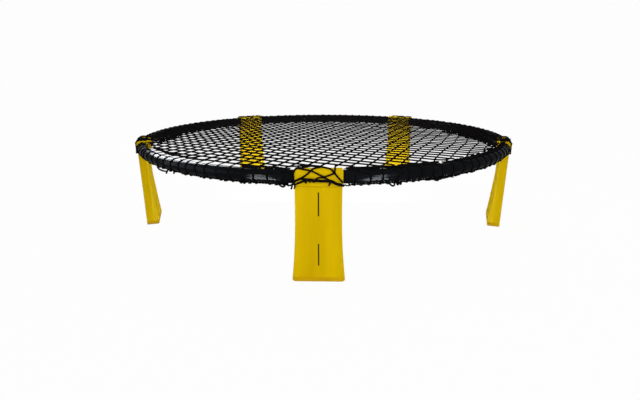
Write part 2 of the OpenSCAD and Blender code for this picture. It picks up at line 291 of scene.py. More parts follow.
def plastic(name, dark, light, rough, spec, grain=900.0, bump=0.00004, scale=9.0,
            stretch=(1, 1, 1)):
    """Moulded plastic: slow colour drift, fine moulded grain, rubbed patches. The drift runs in
    streaks where stretch is less along one axis than along the others, and such streaks are a
    painted sheen."""
    m, nt, bsdf = new_material(name)
    coords = object_coords(nt)
    slow = noise(nt, stretched(nt, coords, stretch), scale, 3.0, 0.55)
    ramp(nt, slow, [(0.35, dark), (0.65, light)], bsdf.inputs["Base Color"])
    rub = noise(nt, coords, scale * 5, 5.0, 0.6)
    ramp(nt, rub, [(0.3, rough - 0.05), (0.7, rough + 0.07)], bsdf.inputs["Roughness"])
    relief(nt, noise(nt, coords, grain, 2.0, 0.6), 0.35, bump, bsdf)
    bsdf.inputs["Specular IOR Level"].default_value = spec
    return m


def string_material(name, dark, light):
    """Braided cord: small crossing strands and lint, without any gloss."""
    m, nt, bsdf = new_material(name)
    coords = object_coords(nt)
    lint = noise(nt, coords, 260.0, 4.0, 0.7)
    ramp(nt, lint, [(0.3, dark), (0.75, light)], bsdf.inputs["Base Color"])
    ramp(nt, lint, [(0.2, 0.72), (0.8, 0.92)], bsdf.inputs["Roughness"])
    braid = node(nt, "ShaderNodeTexVoronoi", Scale=1500.0, Randomness=0.55)
    nt.links.new(coords, braid.inputs["Vector"])
    relief(nt, braid.outputs["Distance"], 0.7, 0.0003, bsdf)
    bsdf.inputs["Specular IOR Level"].default_value = 0.0
    return m


def steel(name):
    """Drawn steel with fine lines along it."""
    m, nt, bsdf = new_material(name)
    lines = noise(nt, stretched(nt, object_coords(nt), (60, 60, 900)), 4.0, 3.0)
    ramp(nt, lines, [(0.3, srgb(150, 151, 154)), (0.7, srgb(196, 197, 200))],
         bsdf.inputs["Base Color"])
    ramp(nt, lines, [(0.3, 0.28), (0.7, 0.42)], bsdf.inputs["Roughness"])
    bsdf.inputs["Metallic"].default_value = 1.0
    return m


# The gloss levels are low, because the plain white all round would wash the colours out
BLACK = plastic("black_plastic", srgb(13, 14, 16), srgb(19, 20, 23), 0.12, 0.003,
                grain=1400.0, bump=0.00002, scale=14.0)
# The yellow's drift is stretched upright into faint vertical lighter streaks, a painted sheen
# on the legs and heads
YELLOW = plastic("yellow_plastic", srgb(204, 168, 2), srgb(222, 186, 6), 0.42, 0.0003,
                 stretch=(3.6, 3.6, 0.25))
# A lighter copy of the yellow for the legs' back covers, which are the same plastic as the
# fronts: painted light on faces that stand brighter in the light
YELLOW_BACK_PAINTED_LIGHT = plastic("yellow_back_painted_light", srgb(222, 187, 22), srgb(231, 197, 32), 0.45, 0.0)
FOOT = plastic("foot_rubber", srgb(196, 154, 6), srgb(206, 166, 8), 0.62, 0.004,
               grain=1100.0, bump=0.00008)
STEEL = steel("pin_steel")
STRING = string_material("net_string", srgb(11, 10, 10), srgb(25, 23, 24))
PRINT = plastic("print_black", srgb(44, 35, 7), srgb(56, 45, 10), 0.5, 0.0005)

for k in range(1, LEGS + 1):
    for base, material in (("rim_tube", BLACK), ("leg_head", YELLOW), ("leg_shell", YELLOW),
                           ("leg_back", YELLOW_BACK_PAINTED_LIGHT), ("foot_pad", FOOT),
                           ("hinge_pin", STEEL)):
        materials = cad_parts["%s_%d" % (base, k)].data.materials
        materials.clear()
        materials.append(material)


# ---------------------------------------------------------------- strings on rim and heads

def arc(r, z, radius, start, end, steps):
    """Points [r, z] round a centre, from one angle to another."""
    return [(r + radius * math.cos(a), z + radius * math.sin(a))
            for a in (math.radians(d) for d in np.linspace(start, end, steps))]


def rim_profile(az, lift):
    """Section that strings lie on at this azimuth: points [r, z] and their path lengths,
    from the inner top, over the outside, to below."""
    if head_distance(az) < HEAD_A + HEAD_MARGIN:
        corner_r = RING_R + HEAD_HW - HEAD_CORNER
        pts = [(RING_R - HEAD_HW + 0.001, TUBE_Z + HEAD_HH + lift),
               (corner_r, TUBE_Z + HEAD_HH + lift)]
        pts += arc(corner_r, TUBE_Z + HEAD_HH - HEAD_CORNER, HEAD_CORNER + lift, 90, 0, 7)[1:]
        pts += arc(RING_R + HEAD_HW - HEAD_LOWER, TUBE_Z - HEAD_HH + HEAD_LOWER,
                   HEAD_LOWER + lift, 0, -60, 4)
    else:
        pts = [(RIM_IN, TUBE_Z + TUBE_R + lift)]
        pts += arc(RING_R, TUBE_Z, TUBE_R + lift, 90, -88, 16)
    pts = np.array(pts)
    s = np.concatenate([[0], np.cumsum(np.linalg.norm(np.diff(pts, axis=0), axis=1))])
    return pts, s


def on_rim(az, s, lift=CORD_R):
    """Point in space at path length s over the rim's section at azimuth az."""
    pts, length = rim_profile(az, lift)
    return ring_point(az, np.interp(s, length, pts[:, 0]), np.interp(s, length, pts[:, 1]))


def rim_strand(strands, a0, s0, a1, s1, steps=12, bow=0.0):
    """A string pulled flat over the rim from (azimuth, path length) to another."""
    path, normals = [], []
    for t in np.linspace(0, 1, steps + 1):
        az = a0 + (a1 - a0) * t + bow * math.sin(math.pi * t)
        at = on_rim(az, s0 + (s1 - s0) * t, WRAP_R * WRAP_FLAT)
        path.append(at)
        normals.append(at - ring_point(az, RING_R, TUBE_Z))
    strands.tube(path, WRAP_R, 8, normals=np.array(normals), flat=WRAP_FLAT)


KNOT_T = np.linspace(0, 2 * math.pi, 15, endpoint=False)
TREFOIL = np.stack([np.sin(KNOT_T) + 2 * np.sin(2 * KNOT_T),
                    np.cos(KNOT_T) - 2 * np.cos(2 * KNOT_T),
                    -np.sin(3 * KNOT_T)], 1) / 3.0
KNOT_SHAPE = np.array([1.0, 0.82, 1.1])      # the knot's length, width and height


def knot(strands, at, size=KNOT_SIZE, normal=None):
    """A small overhand knot: one closed loop that passes over and under itself, turned by
    chance about the normal."""
    turn = rng.uniform(0, 2 * math.pi)
    c, s = math.cos(turn), math.sin(turn)
    k = TREFOIL * size * KNOT_SHAPE
    k = np.stack([k[:, 0] * c - k[:, 1] * s, k[:, 0] * s + k[:, 1] * c, k[:, 2]], 1)
    if normal is not None:
        n = unit(normal)
        x = unit(np.cross([0.0, 0.0, 1.0], n)) if abs(n[2]) < 0.98 else np.array([1.0, 0, 0])
        y = np.cross(n, x)
        k = k[:, :1] * x + k[:, 1:2] * y + k[:, 2:] * n
    strands.tube(k + np.asarray(at), KNOT_STRAND_R, 5, closed=True)


# ---------------------------------------------------------------- the net

# The mesh's two families of strings. Each has a turn in degrees, and a bend that says how
# many meshes it is off a straight even lattice: a shift, and what x, y, xy and y squared add,
# with x and y as shares of BEND_R
BEND_R = 0.4
FAMILIES = ((-22, (-0.278, -0.354, -0.225, -0.636, -0.041)),
            (63, (0.322, -0.061, 0.514, 0.044, 0.096)))
# The first family also sags where the net hangs slack at the right
SAG = 0.3                # meshes
SAG_FROM, SAG_FADE = 0.18, 0.12
SAG_Y, SAG_WIDTH = -0.185, 0.06
LATTICE = 24             # meshes each way from the middle, more than the ring holds
NET_DIP = 0.0012         # how far the middle of the net hangs below its edge
KNOT_LIFT = 0.0002       # knots stand a little above their strings
BOW = 0.00028            # spread of a string's sideways bow between two knots
KNOT_SHIFT = 0.00035     # spread of the knots' places, and of their heights
KNOT_RISE = 0.0002
THINNER = 0.15           # how much thinner the string gets towards the far side
THIN_FROM, THIN_OVER = -0.05, 0.45


def family_count(x, y, turn, bend):
    """How many of a family's strings lie between the ring's axis and x, y."""
    t = math.radians(turn)
    X, Y = x / BEND_R, y / BEND_R
    shift, by_x, by_y, by_xy, by_yy = bend
    return ((x * math.cos(t) + y * math.sin(t)) / PITCH
            + shift + by_x * X + by_y * Y + by_xy * X * Y + by_yy * Y * Y)


def mesh_counts(x, y):
    a, b = (family_count(x, y, *f) for f in FAMILIES)
    w = np.clip((x - SAG_FROM) / SAG_FADE, 0, 1)
    w = w * w * (3 - 2 * w)
    return a - SAG * w * np.exp(-np.abs(y - SAG_Y) / SAG_WIDTH), b


def lattice():
    """Knot places x, y: the points where strings of both families cross."""
    i, j = np.meshgrid(np.arange(-LATTICE, LATTICE), np.arange(-LATTICE, LATTICE),
                       indexing="ij")
    target = np.stack([i + 0.5, j + 0.5], -1).astype(float)
    turns = [math.radians(turn) for turn, _ in FAMILIES]
    to_place = np.linalg.inv(np.array([[math.cos(t), math.sin(t)] for t in turns]) / PITCH).T
    p = target @ to_place
    for _ in range(25):      # closes in on the bent lattice from the straight one
        off = target - np.stack(mesh_counts(p[..., 0], p[..., 1]), -1)
        p = p + 0.8 * off @ to_place
    return p


def net_height(x, y):
    """The net dips a little towards its middle."""
    r = np.hypot(x, y) / NET_R
    return NET_Z - NET_DIP * np.clip(1 - r * r, 0, 1)


def bowed(p, q, amount):
    """Points of a string between two knots, bowed a little to one side."""
    d = q - p
    n = np.array([-d[1], d[0], 0.0])
    n = n / (np.linalg.norm(n) + 1e-12)
    return [p + d * t + n * amount * math.sin(math.pi * t) for t in (0.25, 0.5, 0.75)]


def thinning(path):
    """Taper along a path, because the photo shows finer string towards the far side."""
    return 1 - THINNER * np.clip((np.asarray(path)[:, 1] - THIN_FROM) / THIN_OVER, 0, 1)


def leaving(last, beyond):
    """Azimuth at which the line from the last knot towards the next one meets the rim."""
    d = (beyond - last)[:2]
    b = last[:2] @ d
    a = d @ d
    t = (-b + math.sqrt(max(b * b - a * (last[:2] @ last[:2] - RIM_IN ** 2), 0))) / a
    return azimuth(last + (beyond - last) * min(t, 0.85))


places = lattice()
places = places + nrng.normal(0, KNOT_SHIFT, places.shape)
inside = np.hypot(places[..., 0], places[..., 1]) < MESH_R
heights = net_height(places[..., 0], places[..., 1]) + nrng.normal(0, KNOT_RISE, inside.shape)
knots = np.dstack([places, heights[..., None]])

net = Strands()
ends = []     # (azimuth, last knot) where a string leaves the mesh
for rows, is_in in ((knots, inside), (knots.transpose(1, 0, 2), inside.T)):
    for row, row_in in zip(rows, is_in):
        idx = np.nonzero(row_in)[0]
        if len(idx) == 0:
            continue
        lo, hi = idx[0], idx[-1]
        path = []
        for a, b in zip(row[lo:hi], row[lo + 1:hi + 1]):
            path.append(a)
            path += bowed(a, b, rng.gauss(0, BOW))
        path.append(row[hi])
        if len(path) > 1:
            net.tube(path, CORD_R, 6, taper=thinning(path))
        ends.append((leaving(row[lo], row[lo - 1]), row[lo]))
        ends.append((leaving(row[hi], row[hi + 1]), row[hi]))
for at in knots[inside]:
    knot(net, at + np.array([0, 0, KNOT_LIFT]))
ends.sort(key=lambda e: e[0])
wrap_az = sorted(((FIRST_LEG + WRAP_STEP * (i + 0.5) + 180) % 360) - 180 for i in range(WRAPS))


def share_out(azimuths, goals, shift):
    """Gives every string end a wrap, in order round the ring, and every wrap at least one
    end. Returns the least total offset, squared, and the wrap that each end gets."""
    n, m = len(azimuths), len(goals)
    cost = np.array([[apart(a, goals[(j + shift) % m]) ** 2 for j in range(m)]
                     for a in azimuths])
    best = np.full((n, m), np.inf)
    best[0, 0] = cost[0, 0]
    for i in range(1, n):
        from_left = np.concatenate([[np.inf], best[i - 1, :-1]])
        best[i] = cost[i] + np.minimum(best[i - 1], from_left)
    j, chosen = m - 1, [0] * n
    for i in range(n - 1, -1, -1):
        chosen[i] = (j + shift) % m
        if i and j and best[i - 1, j - 1] <= best[i - 1, j]:
            j -= 1
    return best[-1, -1], chosen


_, chosen = min((share_out([az for az, _ in ends], wrap_az, shift) for shift in range(-3, 4)),
                key=lambda c: c[0])
fan = {}      # for each wrap, the ends that it gathers
for end, w in zip(ends, chosen):
    fan.setdefault(w, []).append(end)

# ---------------------------------------------------------------- strings over the leg heads

# Knots on a head, in millimetres: along the ring from the head's middle, and outwards
# over its top and down its face from its inner top edge
H1, H2, H3, H4, H5 = (-35, 16.3), (-12, 23.1), (4.8, 4.3), (9.2, 33.9), (26.1, 27.4)
HEAD_STRINGS = (
    (H1, (-39.6, 25.6), (-40.2, 36), (-39.8, 46.5)),
    (H1, (-24, 20.2), H2),
    (H2, (-4, 12.8), H3),
    (H2, (-18.5, 29.6), (-26.3, 35.0), (-33, 38.2), (-39.2, 42.5)),
    (H2, (-1, 28.6), H4),
    (H3, (16.5, 15.2), H5),
    (H5, (19.4, 30.2), H4),
    (H5, (31.5, 34.2), (36.6, 39.8), (39.6, 43.5)))
# Where the four wraps that reach a head end up. The second one ends at the head's inner
# edge, and two strings go on from there
INNER_END = (-13.5, 1.0)
HEAD_GOALS = (H1, INNER_END, H3, H5)
# What lies on a head's face: along the ring, and height above the ground
HEAD_BORDER = (
    ((-41.5, 181.0), (-38.3, 182.6), (-32, 185.6), (-26.3, 187.0), (-19, 186.3),
     (-11.5, 186.1), (-4.1, 185.2), (3, 184.4), (10, 184.2), (17, 184.4), (22, 183.5),
     (29, 179.6), (37, 177.2), (41.5, 176.2)),
    ((-41.5, 178.2), (-37.6, 177.6), (-31.6, 179.9), (-24.1, 183.0), (-17, 184.9),
     (-10, 184.9), (-4.1, 183.9), (3, 182.9), (10, 182.7), (17, 182.8), (21.7, 181.9),
     (29.1, 178.0), (37.3, 175.9), (41.5, 175.2)))
HEAD_LOOPS = (          # with how far each stands off the face, in metres
    (0.0011, ((-4, 186.0), (-2.2, 188.2), (2.5, 189.0), (9.2, 188.8), (13.6, 187.2),
              (18, 185.0))),
    (0.0012, ((-14, 185.6), (-11.2, 183.8), (-7.1, 182.0), (-3.6, 183.2), (-5.2, 185.4))),
    (0.0012, ((-25, 184.2), (-22.0, 182.2), (-18.6, 183.0), (-16.0, 185.0))))
HEAD_TAGS = (
    ((-21.5, 184.5), (-20.6, 182.4), (-19.4, 180.0)),
    ((20.2, 183.2), (18.6, 180.0), (17.0, 175.9)),
    ((-38.6, 177.6), (-38.0, 174.2), (-39.2, 170.4)),
    ((-15.5, 185.0), (-14.2, 183.0), (-12.6, 181.6)))
TAG_LIFT = 0.0024
SHAKE_ALONG, SHAKE_OUT = 1.3, 0.9    # spread of the places on the other heads, millimetres
# Further strings over the two side heads, on their half towards the viewer, as the places
# of both ends
SIDE_HEADS = (2, 5)
SIDE_STRINGS = ((10, 0.5, 13, 37), (17, 0.5, 15, 38), (22, 0.5, 24, 37), (28, 0.5, 26, 38),
                (33, 0.5, 34.5, 39), (37, 0.5, 38.5, 41))
MIRRORED_HEADS = (2, 4)
HUB_S = 0.3              # where a head's strings meet at its inner edge
HUB_PULL = 0.25          # how far a lone string draws its place there towards its last knot
HUB_KNOT = 0.0022
HEAD_KNOT = 0.0026
END_KNOT = 0.0019        # where string ends meet at the rim
UNDER_KNOT = 0.0027      # where a wrap is tied to the border cord
UNDER_KNOT_DROP = 0.0012
END_DIP = 0.0002         # the last length of a string dips by this before the rim
END_WANDER = 0.0004


def head_side(k):
    return -1 if k in MIRRORED_HEADS else 1


def head_az(k, t, side):
    return leg_azimuth(k) + side * math.degrees(t * MM / FACE_R)


def along_head(k, az, side):
    """A place along the ring from the middle of head k, in millimetres."""
    return side * math.radians(apart(az, leg_azimuth(k))) * FACE_R / MM


def over_head(k, t, s, side, lift=CORD_R):
    return on_rim(head_az(k, t, side), s * MM, lift)


def on_face(k, t, z, side, lift):
    return ring_point(head_az(k, t, side), RING_R + HEAD_HW + lift, z * MM)


def head_knot(strands, k, t, s, side):
    at = over_head(k, t, s, side)
    knot(strands, at, HEAD_KNOT, normal=over_head(k, t, s, side, 0.004) - at)


def shaken(share):
    """Moves each place on a head by chance, to the same new place each time it is asked."""
    moved = {}

    def place(p):
        if p not in moved:
            moved[p] = (p[0] + share * rng.gauss(0, SHAKE_ALONG),
                        p[1] + share * rng.gauss(0, SHAKE_OUT))
        return moved[p]
    return place


def dress_head(k):
    """Lays the strings, loops and tags over leg head k, and leads the net's ends to them."""
    side = head_side(k)
    place = shaken(0.0 if k == 1 else 1.0)     # the front head's are as the photo shows them

    def string_over(strands, way):
        strands.tube([over_head(k, t, s, side) for t, s in way], CORD_R, 6)

    def string_on_face(way, lift, r):
        edge.tube([on_face(k, t, z, side, lift) for t, z in way], r, 6)

    for line in HEAD_STRINGS:
        string_over(edge, smooth_path([place(p) for p in line], 6))
    for p in (H1, H2, H4, H5, H3):
        head_knot(edge, k, *place(p), side)
    for lift, line in HEAD_LOOPS:
        string_on_face(smooth_path(line, 6), lift, LOOP_R)
    for line in HEAD_TAGS:
        string_on_face(smooth_path(line, 4), TAG_LIFT, CORD_R)
    for t0, s0, t1, s1 in SIDE_STRINGS if k in SIDE_HEADS else ():
        middle = ((t0 + t1) / 2 + rng.gauss(0, 1.0), (s0 + s1) / 2)
        string_over(edge, smooth_path([(t0, s0), middle, (t1, s1)], 5))

    goals = [p if p == INNER_END else place(p) for p in HEAD_GOALS]
    for g, goal in enumerate(goals if side > 0 else reversed(goals)):
        az = leg_azimuth(k) + (g - 1.5) * WRAP_STEP
        w = min(range(WRAPS), key=lambda i: abs(apart(wrap_az[i], az)))
        last_knots = [at for _, at in fan[w]]
        hub_t = goal[0]
        if len(last_knots) == 1:
            hub_t = ((1 - HUB_PULL) * hub_t
                     + HUB_PULL * along_head(k, azimuth(last_knots[0]), side))
        hub = over_head(k, hub_t, HUB_S, side)
        if len(last_knots) > 1:
            knot(net, hub, HUB_KNOT)
        for at in last_knots:
            middle = (at + hub) / 2 + np.array([0, 0, -END_DIP])
            net.tube(smooth_path([at, middle, hub], 3), CORD_R, 6)
        if goal == INNER_END:
            for p in (H1, H3):
                string_over(net, np.linspace(goal, place(p), 8))
        else:
            start = (along_head(k, azimuth(hub), side), HUB_S)
            string_over(net, np.linspace(start, goal, 8))


edge = Strands()
for k in range(1, LEGS + 1):
    dress_head(k)

# ---------------------------------------------------------------- wraps over the rim tubes

# All in degrees
HEAD_REACH = 5.5         # from a head's middle, within which wraps go over the head
TOP_PULL, TOP_PULL_MAX = 0.5, 0.75   # share of their offset that strings pull a wrap aside
TOP_SPREAD, FOOT_SPREAD, WRAP_BOW = 0.12, 0.22, 0.15
TUBE_END_S = rim_profile(FIRST_LEG + 20, CORD_R)[1][-1]
DOWN = np.array([0, 0, -1.0])
for w, az in enumerate(wrap_az):
    if head_distance(az) < HEAD_REACH:
        continue
    pull = sum(apart(a, az) for a, _ in fan[w]) / len(fan[w])
    pulled = max(-TOP_PULL_MAX, min(TOP_PULL_MAX, TOP_PULL * pull))
    top_az = az + pulled + rng.gauss(0, TOP_SPREAD)
    goal = on_rim(top_az, 0.0)
    for _, at in fan[w]:
        aside = [rng.gauss(0, END_WANDER), rng.gauss(0, END_WANDER), -END_DIP]
        middle = (at + goal) / 2 + np.array(aside)
        way = smooth_path([at, middle, goal], 3)
        net.tube(way, CORD_R, 6, taper=thinning(way))
    if len(fan[w]) > 1:
        knot(net, goal, END_KNOT)
    foot_az = az + rng.gauss(0, FOOT_SPREAD)
    rim_strand(edge, top_az, 0.0, foot_az, TUBE_END_S, bow=rng.gauss(0, WRAP_BOW), steps=18)
    knot(edge, on_rim(foot_az, TUBE_END_S) + DOWN * UNDER_KNOT_DROP, UNDER_KNOT, normal=DOWN)

# ---------------------------------------------------------------- loose string round the rim

# Slack loops and cut ends below the rim's front, as the photo shows them: points as azimuth
# and drop below the tube in millimetres
HANGING = (
    ((-135.8, 3.8), (-134.8, 5.6), (-133.2, 6.2), (-131.8, 6.0), (-130.4, 4.8)),
    ((-130.4, 3.0), (-130.6, 6.0), (-130.9, 9.4)),
    ((-127.7, 0.5), (-127.6, 3.0), (-127.4, 5.8)),
    ((-107.6, 0.3), (-107.1, 3.6), (-106.7, 2.0), (-106.3, 3.8), (-106.0, 0.6)),
    ((-98.9, -0.8), (-98.4, 2.4), (-97.8, 5.2), (-97.3, 5.0), (-96.9, 0.0)),
    ((-96.6, -0.4), (-96.5, 1.8), (-96.4, 4.0)),
    ((-95.6, 0.5), (-95.6, 4.5), (-95.8, 9.0)),
    ((-83.6, -1.0), (-83.5, 1.4), (-83.4, 3.2)),
    ((-74.8, -0.6), (-74.5, 4.2), (-74.0, 6.8), (-73.6, 5.8), (-73.4, 0.6)),
    ((-73.1, 0.0), (-72.8, 5.6), (-72.4, 2.6), (-72.1, 5.4), (-71.9, 0.8)),
    ((-64.2, -0.6), (-63.5, 3.6), (-62.8, 5.6), (-62.2, 4.6), (-61.9, 0.4)),
    ((-56.5, -1.0), (-56.2, 2.4), (-55.9, -0.6)),
    ((-42.4, -3.0), (-42.1, 0.0), (-41.8, 2.6)))
# Where the net is too wide for the ring its edge hangs slack: from and to azimuth, strands,
# band outwards and band up from the tube's centre line in millimetres, wandering
SLACK_RUNS = (
    (-6, 33, 11, (-10, 3), (-21, -13.5), 1.4),
    (-6, 33, 7, (-15, -13.2), (-9, 11), 1.3),
    (160, 184, 4, (-9, 3), (-19, -14), 1.2),
    (36, 46, 4, (-9, 2), (-18, -14), 1.2),
    (-40, -20, 4, (-19, -13.5), (11.2, 14.2), 1.0),
    (-66, -58, 4, (-3, 8), (-17, -14), 1.0),
    (-62, -8, 12, (-8, 0), (12.2, 13.6), 0.7),
    (-108, -99, 4, (-8, -1), (12.4, 14.0), 0.5),
    (-102, -95.4, 3, (-6, 0), (12.4, 14.0), 0.4),
    (-84.6, -76, 5, (-7, 0), (12.4, 14.4), 0.4),
    (-78, -62, 8, (-7, 0), (12.4, 14.4), 0.5),
    (-150, -112, 3, (-21, -12.5), (11.6, 12.6), 2.6))
# Slack loops that hang from it: azimuth, half width in degrees, drop in millimetres
SLACK_LOOPS = (
    (30.5, 0.8, 21), (28.0, 0.9, 26), (25.6, 0.7, 24), (21.0, 1.5, 22), (17.2, 1.4, 20),
    (4.0, 0.8, 24), (1.5, 0.9, 27), (-2.0, 0.7, 24), (-4.4, 0.8, 21), (176.5, 0.9, 21),
    (173.6, 0.9, 24), (170.8, 0.8, 23), (167.5, 1.0, 20))
LOOP_TOP = 13.5          # millimetres from the tube's centre line down to a loop's top
RUN_STEP = 0.9           # degrees between the points of a slack strand
# Loose strands that cross the outside of the rim beside the front head: azimuth and path
# length in millimetres at both ends, and bow in degrees
LOOSE_STRANDS = (
    (-101.4, 7.5, -95.4, 24.0, 0.5), (-84.6, 9.0, -79.0, 27.0, -0.4),
    (-74.8, 16.0, -72.2, 31.0, 0.6), (-72.0, 14.0, -73.4, 30.0, 0.3),
    (-66.0, 6.0, -61.2, 26.0, 0.4), (-57.8, 8.0, -52.4, 28.0, -0.5))


def hang(points, r):
    """A string just below the tube, through points given as azimuth and drop. It stands out
    a little from the tube's middle, and more so further down."""
    path = [ring_point(az, RING_R + 0.002 + 0.0004 * min(drop, 6.0),
                       TUBE_Z - TUBE_R - drop * MM) for az, drop in points]
    edge.tube(smooth_path(path, 5), r, 6)


def wander(start, band, spread):
    """A value that strays by chance from its start and stays within its band."""
    return min(max(start + rng.gauss(0, spread), band[0]), band[1])


def slack_run(az0, az1, count, out, up, spread):
    """Slack net edge along the rim: strands that wander within a band outwards and up."""
    for _ in range(count):
        length = rng.uniform(0.35, 0.75) * (az1 - az0)
        start = rng.uniform(az0, az1 - length)
        r0, z0 = rng.uniform(*out), rng.uniform(*up)
        pts = [ring_point(start + RUN_STEP * i, RING_R + MM * wander(r0, out, spread),
                          TUBE_Z + MM * wander(z0, up, spread))
               for i in range(int(length / RUN_STEP) + 2)]
        edge.tube(smooth_path(pts, 3), CORD_R, 6)


def slack_loop(az, half, drop):
    """A closed loop that hangs from the slack edge, a little askew."""
    pts = []
    for t in np.linspace(0, 2 * math.pi, 14, endpoint=False):
        down = LOOP_TOP + (drop - LOOP_TOP) * (0.5 - 0.5 * math.sin(t))
        pts.append(ring_point(az + half * math.cos(t) + 0.25 * half * math.sin(2 * t),
                              RING_R + MM * (-3 + 2.5 * math.sin(t + az)), TUBE_Z - MM * down))
    edge.tube(pts, LOOP_R, 6, closed=True)


for line in HANGING:
    hang(line, HANG_R)
for az in range(62, 160, 16):      # by chance at the back, which the photo doesn't show
    az += rng.uniform(-3, 3)
    half = rng.choice((0.25, 0.6, 0.85))
    drop = rng.uniform(3.5, 5.5)
    if head_distance(az) > 7.0:    # clear of the heads
        hang(((az - half, 0.0), (az, drop), (az + half, 0.4)), CORD_R)
for run in SLACK_RUNS:
    slack_run(*run)
for loop in SLACK_LOOPS:
    slack_loop(*loop)
for a0, s0, a1, s1, bow in LOOSE_STRANDS:
    rim_strand(edge, a0, s0 * MM, a1, s1 * MM, bow=bow, steps=16)

net_ob = net.make("net_mesh", STRING)
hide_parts("net")
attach(net_ob, "frame")
edge_ob = edge.make("net_edge_wraps", STRING)
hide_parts("net_edge_strings")
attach(edge_ob, "frame")

# ---------------------------------------------------------------- border cord

# From a head's edge to its place under the tube: degrees past the head, outwards, up
TUCK = [(0.3, 0.0138, -0.0103), (1.15, 0.0070, -0.01385), (2.05, *BORDER_UNDER)]
BORDER_STEPS = 260       # points between one head's tuck and the next one's


def border_centre():
    """The twisted part's centre line from one head to the next: degrees past the first
    head's middle, outwards and up from the tube's centre line."""
    tuck = [(HEAD_A + d, x, z) for d, x, z in TUCK]
    lo, hi = tuck[-1][0], LEG_STEP - HEAD_A - TUCK[-1][0]
    under = [(lo + (hi - lo) * i / BORDER_STEPS, *BORDER_UNDER)
             for i in range(1, BORDER_STEPS)]
    return tuck + under + [(LEG_STEP - HEAD_A - d, x, z) for d, x, z in reversed(TUCK)]


border = Strands()
for k in range(1, LEGS + 1):
    for line in HEAD_BORDER:
        border.tube([on_face(k, t, z, head_side(k), FACE_STRAND_R)
                     for t, z in smooth_path(line, 6)], FACE_STRAND_R, 7)
    mids = smooth_path([ring_point(leg_azimuth(k) + d, RING_R + x, TUBE_Z + z)
                        for d, x, z in border_centre()], 2)
    along = np.gradient(mids, axis=0)
    along /= np.linalg.norm(along, axis=1)[:, None]
    outwards = np.cross(along, [0, 0, 1.0])
    outwards /= np.linalg.norm(outwards, axis=1)[:, None]
    upwards = np.cross(outwards, along)
    run = np.concatenate([[0], np.cumsum(np.linalg.norm(np.diff(mids, axis=0), axis=1))])
    for half_turn in (0, 1):
        ang = 2 * math.pi * run / BORDER_TWIST + math.pi * half_turn + TWIST_START
        border.tube(mids + BORDER_STRAND_OUT * (np.cos(ang)[:, None] * outwards
                                                + np.sin(ang)[:, None] * upwards),
                    BORDER_STRAND_R, 7)
border_ob = border.make("border_cord_braid", STRING)
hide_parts("border_cord")
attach(border_ob, "frame")

# ---------------------------------------------------------------- printed bars on the legs

PRINT_BARS = ((0.1226, 0.1640), (0.0324, 0.0727))    # lower and upper end of each, in height
PRINT_HW = 0.0012                                    # half width
PRINT_SINK, PRINT_RISE = 0.0001, 0.00008             # below and above the leg's face
BAR_FACES = ((4, 6, 7, 5), (0, 1, 3, 2), (0, 2, 6, 4), (1, 5, 7, 3), (0, 4, 5, 1),
             (2, 3, 7, 6))
for k in range(1, LEGS + 1):
    az = math.radians(leg_azimuth(k))
    verts, faces = [], []
    for z0, z1 in PRINT_BARS:
        faces += [[len(verts) + i for i in face] for face in BAR_FACES]
        for r in (FACE_R - PRINT_SINK, FACE_R + PRINT_RISE):
            for y in (-PRINT_HW, PRINT_HW):
                x = math.sqrt(r * r - y * y)
                for z in (z0, z1):
                    verts.append((x * math.cos(az) - y * math.sin(az),
                                  x * math.sin(az) + y * math.cos(az), z))
    me = bpy.data.meshes.new("leg_print_%d" % k)
    me.from_pydata(verts, [], faces)
    me.materials.append(PRINT)
    ob = show("leg_print_%d" % k, me)
    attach(ob, "leg_%d" % k)

# ---------------------------------------------------------------- camera

# The photo's camera, fitted to the ring and the feet
FOCAL_PIXELS, PICTURE_WIDTH, SENSOR_WIDTH = 414.5, 640, 36.0
CAMERA_AT = (0.01779, -1.10729, 0.35375)
CAMERA_YAW, CAMERA_PITCH, CAMERA_ROLL = -1.34, 17.32, -0.11

cam_data = bpy.data.cameras.new("camera")
cam = show("camera", cam_data)
bpy.context.scene.camera = cam
cam_data.sensor_width = SENSOR_WIDTH
cam_data.lens = FOCAL_PIXELS / PICTURE_WIDTH * SENSOR_WIDTH
cam_data.clip_start = 0.05
cam_data.clip_end = 60
cam.location = CAMERA_AT
yaw, pitch, roll = (math.radians(v) for v in (CAMERA_YAW, CAMERA_PITCH, CAMERA_ROLL))
ahead = Vector((math.sin(yaw) * math.cos(pitch), math.cos(yaw) * math.cos(pitch),
                -math.sin(pitch)))
level = Vector((math.cos(yaw), -math.sin(yaw), 0))
above = level.cross(ahead)
right = level * math.cos(roll) + above * math.sin(roll)
up = -level * math.sin(roll) + above * math.cos(roll)
cam.rotation_mode = "QUATERNION"
cam.rotation_quaternion = Matrix((right, up, -ahead)).transposed().to_quaternion()

# ---------------------------------------------------------------- floor and world

WHITE = (*srgb(253, 253, 253), 1)
WORLD_LIGHT = 0.45
FLOOR_HALF = 8.0
FLOOR_Z = -0.0006        # just below the soles
FLOOR_GLOW = 1.01
FLOOR_WHITE = 0.975      # the rest is lit floor, on which the shadows fall


def show_white(nt, lit, white, share=1.0):
    """Shows a white shader to the camera and to mirrors and glass, and the lit one to all
    other light. The lit one keeps what the white one's share leaves of it."""
    out = next(n for n in nt.nodes if n.type in ("OUTPUT_MATERIAL", "OUTPUT_WORLD"))
    rays = nt.nodes.new("ShaderNodeLightPath").outputs
    seen = rays["Is Camera Ray"]
    for kind in ("Is Transmission Ray", "Is Glossy Ray"):
        either = node(nt, "ShaderNodeMath", operation="MAXIMUM")
        nt.links.new(seen, either.inputs[0])
        nt.links.new(rays[kind], either.inputs[1])
        seen = either.outputs[0]
    keep = node(nt, "ShaderNodeMath", operation="MULTIPLY")
    keep.inputs[1].default_value = share
    nt.links.new(seen, keep.inputs[0])
    mix = nt.nodes.new("ShaderNodeMixShader")
    nt.links.new(keep.outputs[0], mix.inputs[0])
    nt.links.new(lit.outputs[0], mix.inputs[1])
    nt.links.new(white.outputs[0], mix.inputs[2])
    nt.links.new(mix.outputs[0], out.inputs["Surface"])


